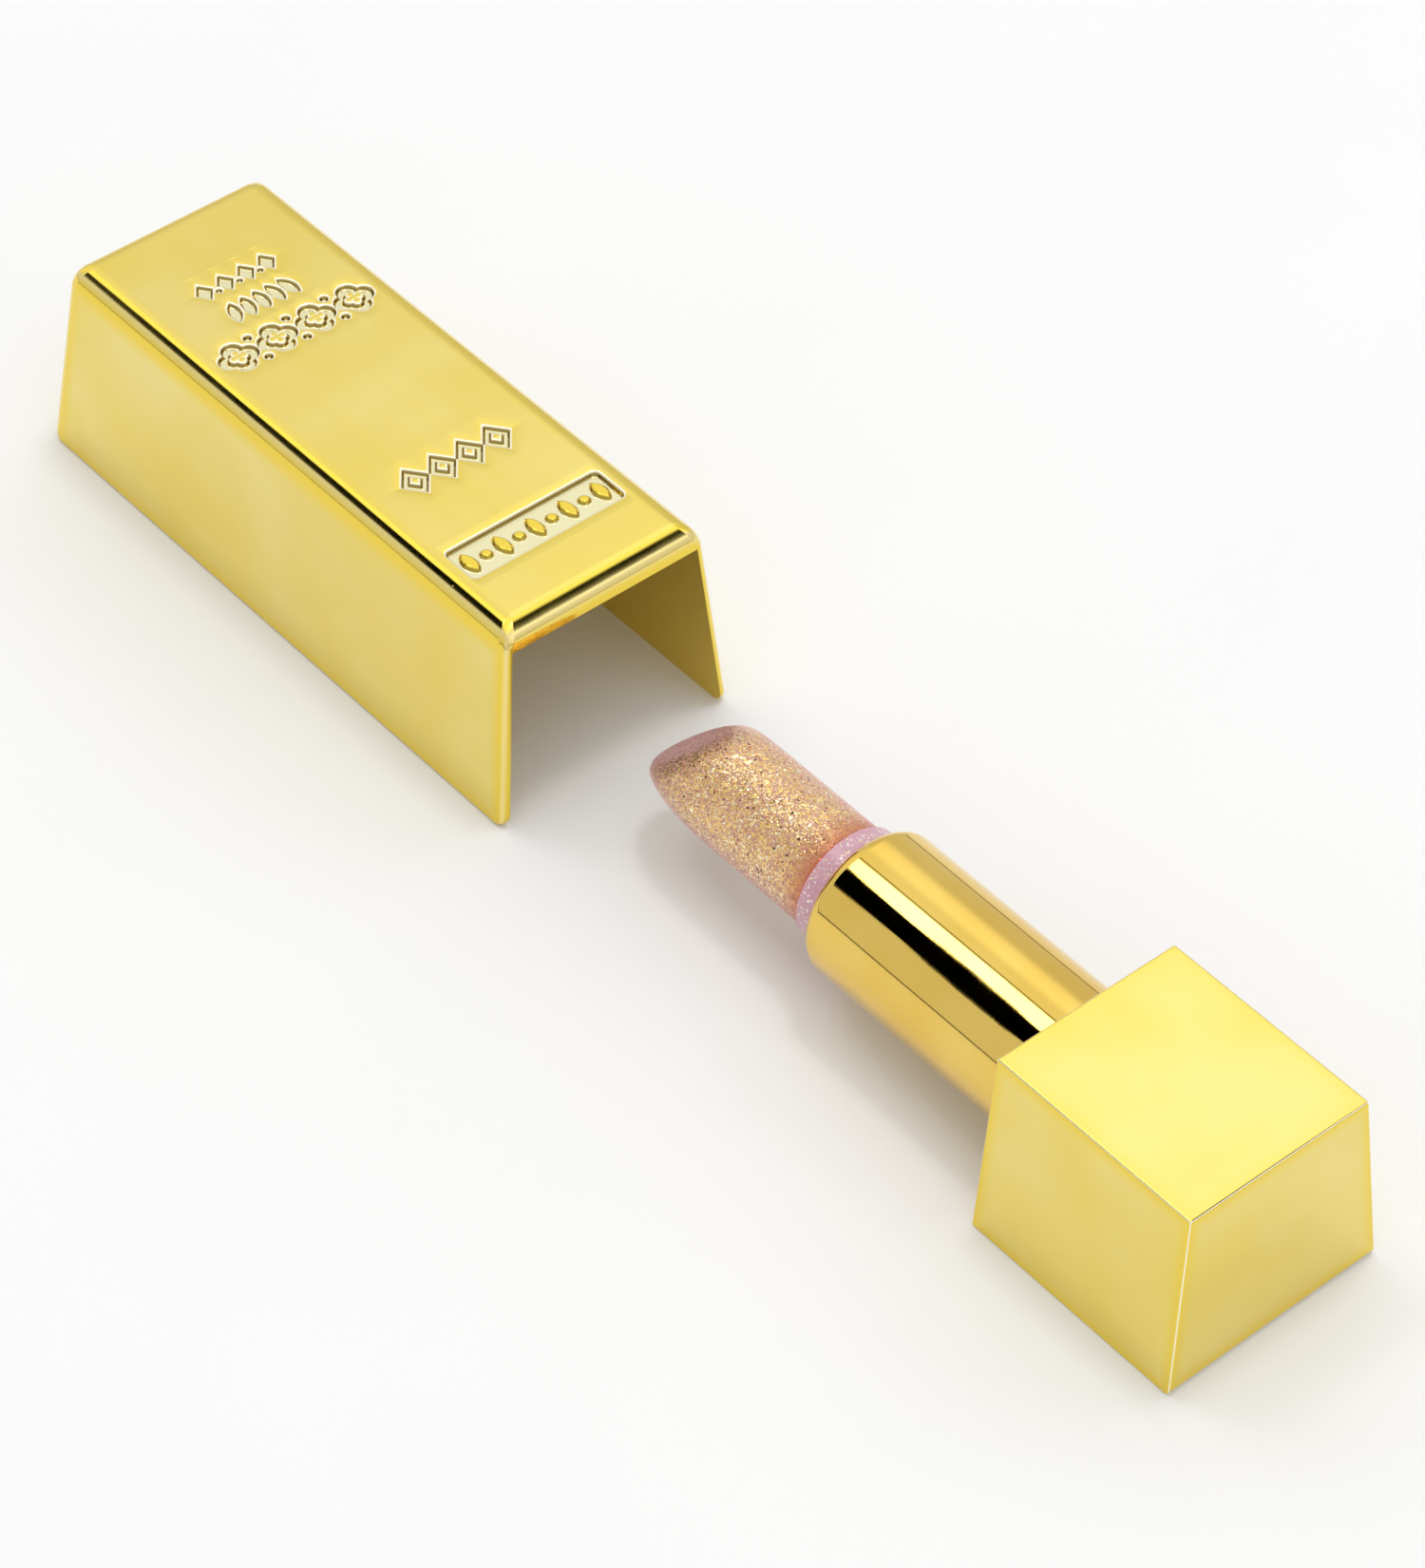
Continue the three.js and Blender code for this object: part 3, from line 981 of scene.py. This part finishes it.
def nose_points(around):
    """The nose's points, ring by ring from its tip, where rays from the axis leave the bullet. In mm."""
    away = np.linspace(0, math.pi / 2, NOSE_RINGS + 1)
    away, round_axis = np.meshgrid(away, around, indexing="ij")
    across = np.sin(away)
    direction = np.stack([np.cos(away), across * np.sin(round_axis), across * np.cos(round_axis)])
    near = np.zeros(away.shape)
    far = np.full(away.shape, BULLET["ray"])
    for _ in range(HALVINGS):
        middle = (near + far) / 2
        x, y, z = direction * middle
        inside = bullet_field(BULLET["centre"] + x, y, z) < 0
        near = np.where(inside, middle, near)
        far = np.where(inside, far, middle)
    x, y, z = direction * near
    x += BULLET["centre"]
    rings = [points[1:].ravel() for points in (x, y, z)]
    return [(x[0, 0], 0, 0), *zip(*rings)]


def bullet():
    around = np.linspace(0, 2 * math.pi, BULLET_SIDES, endpoint=False)
    radius, chamfer = BULLET["radius"], BULLET["foot_chamfer"]
    points = nose_points(around)
    for x, r in ((BULLET["waist"], radius), (chamfer, radius), (0, radius - chamfer)):
        points += [(x, r * math.sin(angle), r * math.cos(angle)) for angle in around]
    points.append((0, 0, 0))
    foot_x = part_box("lipstick_bullet")[0].x
    vertices = [(foot_x + x * MM, y * MM, AXIS_Z + z * MM) for x, y, z in points]
    faces = ring_faces(1, NOSE_RINGS + 3, BULLET_SIDES)
    tip, foot = 0, len(vertices) - 1
    for j in range(BULLET_SIDES):
        k = (j + 1) % BULLET_SIDES
        faces.append((tip, tip + 1 + k, tip + 1 + j))
        faces.append((foot, foot - BULLET_SIDES + j, foot - BULLET_SIDES + k))
    made = new_object("bullet_wax", vertices, faces)
    join(made)
    shade(made, angle=60)
    place(made, "carrier", WAX, "lipstick_bullet")


cap_case()
base_case()
collar()
cup()
bullet()


# ---- CAD pieces that keep their shape ----
def finish_node(name, material):
    """A CAD node gets softened edges, smooth curved walls and a material."""
    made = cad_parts[name]
    weld = made.modifiers.new("weld", "WELD")
    weld.merge_threshold = WELD_REACH * MM
    soften_rims(made, NODE_EDGE, angle=35)
    made.modifiers.new("normals", "WEIGHTED_NORMAL").keep_sharp = True
    made.data.materials.clear()
    made.data.materials.append(material)


for name, slot, material in (
    ("cap_floor", "mirror_gold", MIRROR),
    ("cap_liner", "white_plastic", WHITE),
    ("cap_grip_ring", "soft_ring", RUBBER),
    ("base_face_plate", "mirror_gold", MIRROR),
    ("base_core", "white_plastic", WHITE),
    ("base_weight", "steel_weight", STEEL),
    ("guide_fork", "white_plastic", WHITE),
    ("friction_ring", "soft_ring", RUBBER),
    ("spiral_sleeve", "white_plastic", WHITE),
):
    finish_node(name, material)


# ---- studio ----
ALONG_X, ALONG_Y, UP = (1, 0, 0), (0, 1, 0), (0, 0, 1)
TOWARDS_Y, TOWARDS_BACK = (0, 1, 0), (-1, 0, 0)
# Studio panels: the axis each lies along, the side that its angles count to, its angles in degrees from
# straight up, its reach along the axis, the blur of its long edges, how far they waver, and its light.
PANELS = (
    (ALONG_X, TOWARDS_Y, (-6, -4), (0.36, 0.54), (0.8, 0.8), 0, 0.3),
    (ALONG_X, TOWARDS_Y, (-3, 20), (0.36, 0.54), (0.7, 0.7), 0, 4.6),
    (ALONG_X, TOWARDS_Y, (-3, 20), (0.54, 0.71), (6, 0.7), 0, 1.35),
    (ALONG_X, TOWARDS_Y, (17, 46), (0.4, 0.7), (0.7, 0.7), 2, 0.0),
    (ALONG_Y, TOWARDS_BACK, (6, 50), (-0.52, -0.38), (9, 1), 0, 0.0),
)
WAVES = 190  # of a panel's edges, along its axis, in radians
PANEL_ENDS = 8  # power of the curve that rounds a panel's ends
WALL_LIGHT = 0.78
GLOW_LIGHT = 0.26  # more light in a broad band overhead
GLOW_ANGLES, GLOW_BLURS = (-36, 20), (26, 30)
WASH_LIGHT = 0.38  # more light in a band on the side away from the camera, fading along X
WASH_ANGLES, WASH_BLURS = (-50, -24), (8, 8)
WASH_FADE = (0.46, 0.68)
ZENITH_LIGHT = 0.3
ZENITH_SINES = (0.88, 0.94)  # the round overhead panel fades in between these sines of the elevation
HORIZON_LIGHT = 0.25  # share of the light on a dark skirting round the floor
HORIZON_SINES = (0.022, 0.0308)
FLOOR_HALF = 3.0  # metres
LAMP_AZIMUTH = -10
LAMP_ELEVATION = 80
LAMP_DISTANCE = 0.7  # metres
LAMP_WIDTH = 0.12  # metres
LAMP_POWER = 0.6  # watts
NEAREST_SEEN = 0.01  # metres from the camera


def floor_material():
    made, shader = material_of("pale_floor", Roughness=0.7, Specular_IOR_Level=0.2)
    tree = made.node_tree
    tone = ramp(tree, noise(tree, 60), (0.3, 0.85, 0.85, 0.85), (0.7, 0.87, 0.87, 0.87))
    return finished(made, shader, Base_Color=tone)


def floor():
    corners = [(x * FLOOR_HALF, y * FLOOR_HALF, 0) for x, y in ((-1, -1), (1, -1), (1, 1), (-1, 1))]
    made = new_object("floor", corners, [(0, 1, 2, 3)])
    made.data.materials.append(floor_material())
    made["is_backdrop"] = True


def dot(tree, a, b):
    return node(tree, "ShaderNodeVectorMath", [(0, a), (1, b)], operation="DOT_PRODUCT").outputs["Value"]


def angle_about(tree, direction, side):
    """Degrees from straight up towards the side, about the level axis at right angles to both."""
    turn = combine(tree, "ARCTAN2", dot(tree, direction, side), dot(tree, direction, UP))
    return combine(tree, "MULTIPLY", turn, 180 / math.pi)


def band(tree, value, limits, blurs, narrowing=0):
    """1 between the limits, which the narrowing draws in, falling off to 0 over a blur at each of them."""
    low = combine(tree, "SUBTRACT", value, narrowing)
    high = combine(tree, "ADD", value, narrowing)
    rise = remap(tree, low, limits[0] - blurs[0], limits[0] + blurs[0], 0, 1, smooth=True)
    fall = remap(tree, high, limits[1] - blurs[1], limits[1] + blurs[1], 1, 0, smooth=True)
    return combine(tree, "MULTIPLY", rise, fall)


def panel(tree, direction, axis, side, angles, reach, blurs, waver):
    """A long studio panel beside an axis: 1 where it stands in the sky, with rounded ends."""
    along = dot(tree, direction, axis)
    wave = combine(tree, "SINE", combine(tree, "MULTIPLY", along, WAVES), 0)
    middle, half = (reach[0] + reach[1]) / 2, (reach[1] - reach[0]) / 2
    off_centre = combine(tree, "DIVIDE", combine(tree, "SUBTRACT", along, middle), half)
    ends = combine(tree, "POWER", combine(tree, "ABSOLUTE", off_centre, 0), PANEL_ENDS)
    narrowing = combine(tree, "MULTIPLY", ends, (angles[1] - angles[0]) / 2)
    narrowing = combine(tree, "ADD", narrowing, combine(tree, "MULTIPLY", wave, waver))
    return band(tree, angle_about(tree, direction, side), angles, blurs, narrowing)


def walls_light(tree, direction):
    """A pale surround, a little brighter overhead and on one side."""
    angle = angle_about(tree, direction, TOWARDS_Y)
    glow = band(tree, angle, GLOW_ANGLES, GLOW_BLURS)
    walls = remap(tree, glow, 0, 1, WALL_LIGHT, WALL_LIGHT + GLOW_LIGHT)
    fade = remap(tree, dot(tree, direction, ALONG_X), *WASH_FADE, WASH_LIGHT, 0, smooth=True)
    wash = combine(tree, "MULTIPLY", band(tree, angle, WASH_ANGLES, WASH_BLURS), fade)
    return combine(tree, "ADD", walls, wash)


def studio_sky():
    """The pale surround with long dark and bright panels for the gold to mirror."""
    world = bpy.data.worlds.new("studio")
    bpy.context.scene.world = world
    world.use_nodes = True
    tree = world.node_tree
    direction = node(tree, "ShaderNodeTexCoord").outputs["Generated"]
    light = walls_light(tree, direction)
    for *shape, strength in PANELS:
        mask = panel(tree, direction, *shape)
        kept = combine(tree, "MULTIPLY", light, combine(tree, "SUBTRACT", 1, mask))
        light = combine(tree, "ADD", kept, combine(tree, "MULTIPLY", mask, strength))
    height = dot(tree, direction, UP)
    skirting = remap(tree, height, *HORIZON_SINES, HORIZON_LIGHT, 1, smooth=True)
    zenith = remap(tree, height, *ZENITH_SINES, 0, ZENITH_LIGHT, smooth=True)
    light = combine(tree, "ADD", combine(tree, "MULTIPLY", light, skirting), zenith)
    tree.links.new(light, tree.nodes["Background"].inputs["Strength"])
    tree.nodes["Background"].inputs["Color"].default_value = (1, 1, 1, 1)


def towards(azimuth, elevation):
    """The direction in which something stands: azimuth 0 is at -Y and 90 at +X."""
    a, e = math.radians(azimuth), math.radians(elevation)
    return Vector((math.sin(a) * math.cos(e), -math.cos(a) * math.cos(e), math.sin(e)))


def overhead_lamp():
    data = bpy.data.lights.new("overhead", "AREA")
    data.shape = "DISK"
    data.size = LAMP_WIDTH
    data.energy = LAMP_POWER
    lamp = bpy.data.objects.new("overhead", data)
    offset = towards(LAMP_AZIMUTH, LAMP_ELEVATION)
    lamp.location = offset * LAMP_DISTANCE
    lamp.rotation_euler = offset.to_track_quat("Z", "Y").to_euler()
    bpy.context.scene.collection.objects.link(lamp)


def camera():
    """Stands at the photograph's angle, aimed and zoomed so that the object fills the frame."""
    low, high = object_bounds()
    corners = points_of("cap_shell") + points_of("base_shell")
    back = towards(AZIMUTH, ELEVATION)
    turn = (-back).to_track_quat("-Z", "Y")
    right, up = turn @ Vector((1, 0, 0)), turn @ Vector((0, 1, 0))
    aim = (low + high) / 2
    for _ in range(AIM_ROUNDS):
        stand = aim + back * DISTANCE
        sights = [corner - stand for corner in corners]
        across = [s.dot(right) / -s.dot(back) for s in sights]
        upward = [s.dot(up) / -s.dot(back) for s in sights]
        aim += right * (max(across) + min(across)) / 2 * DISTANCE
        aim += up * (max(upward) + min(upward)) / 2 * DISTANCE
    half_width = (max(across) - min(across)) / 2 / (1 - 2 * MARGIN)
    half_height = (max(upward) - min(upward)) / 2 / (1 - 2 * MARGIN)
    tangent = max(half_height, half_width * IMAGE_HEIGHT / IMAGE_WIDTH)
    data = bpy.data.cameras.new("camera")
    data.sensor_width = SENSOR_WIDTH
    data.lens = SENSOR_WIDTH / 2 / tangent
    data.clip_start = NEAREST_SEEN
    made = bpy.data.objects.new("camera", data)
    made.rotation_mode = "QUATERNION"
    made.rotation_quaternion = turn
    made.location = aim + back * DISTANCE
    bpy.context.scene.collection.objects.link(made)
    bpy.context.scene.camera = made


floor()
studio_sky()
overhead_lamp()
camera()
bpy.context.scene.view_settings.view_transform = "Standard"
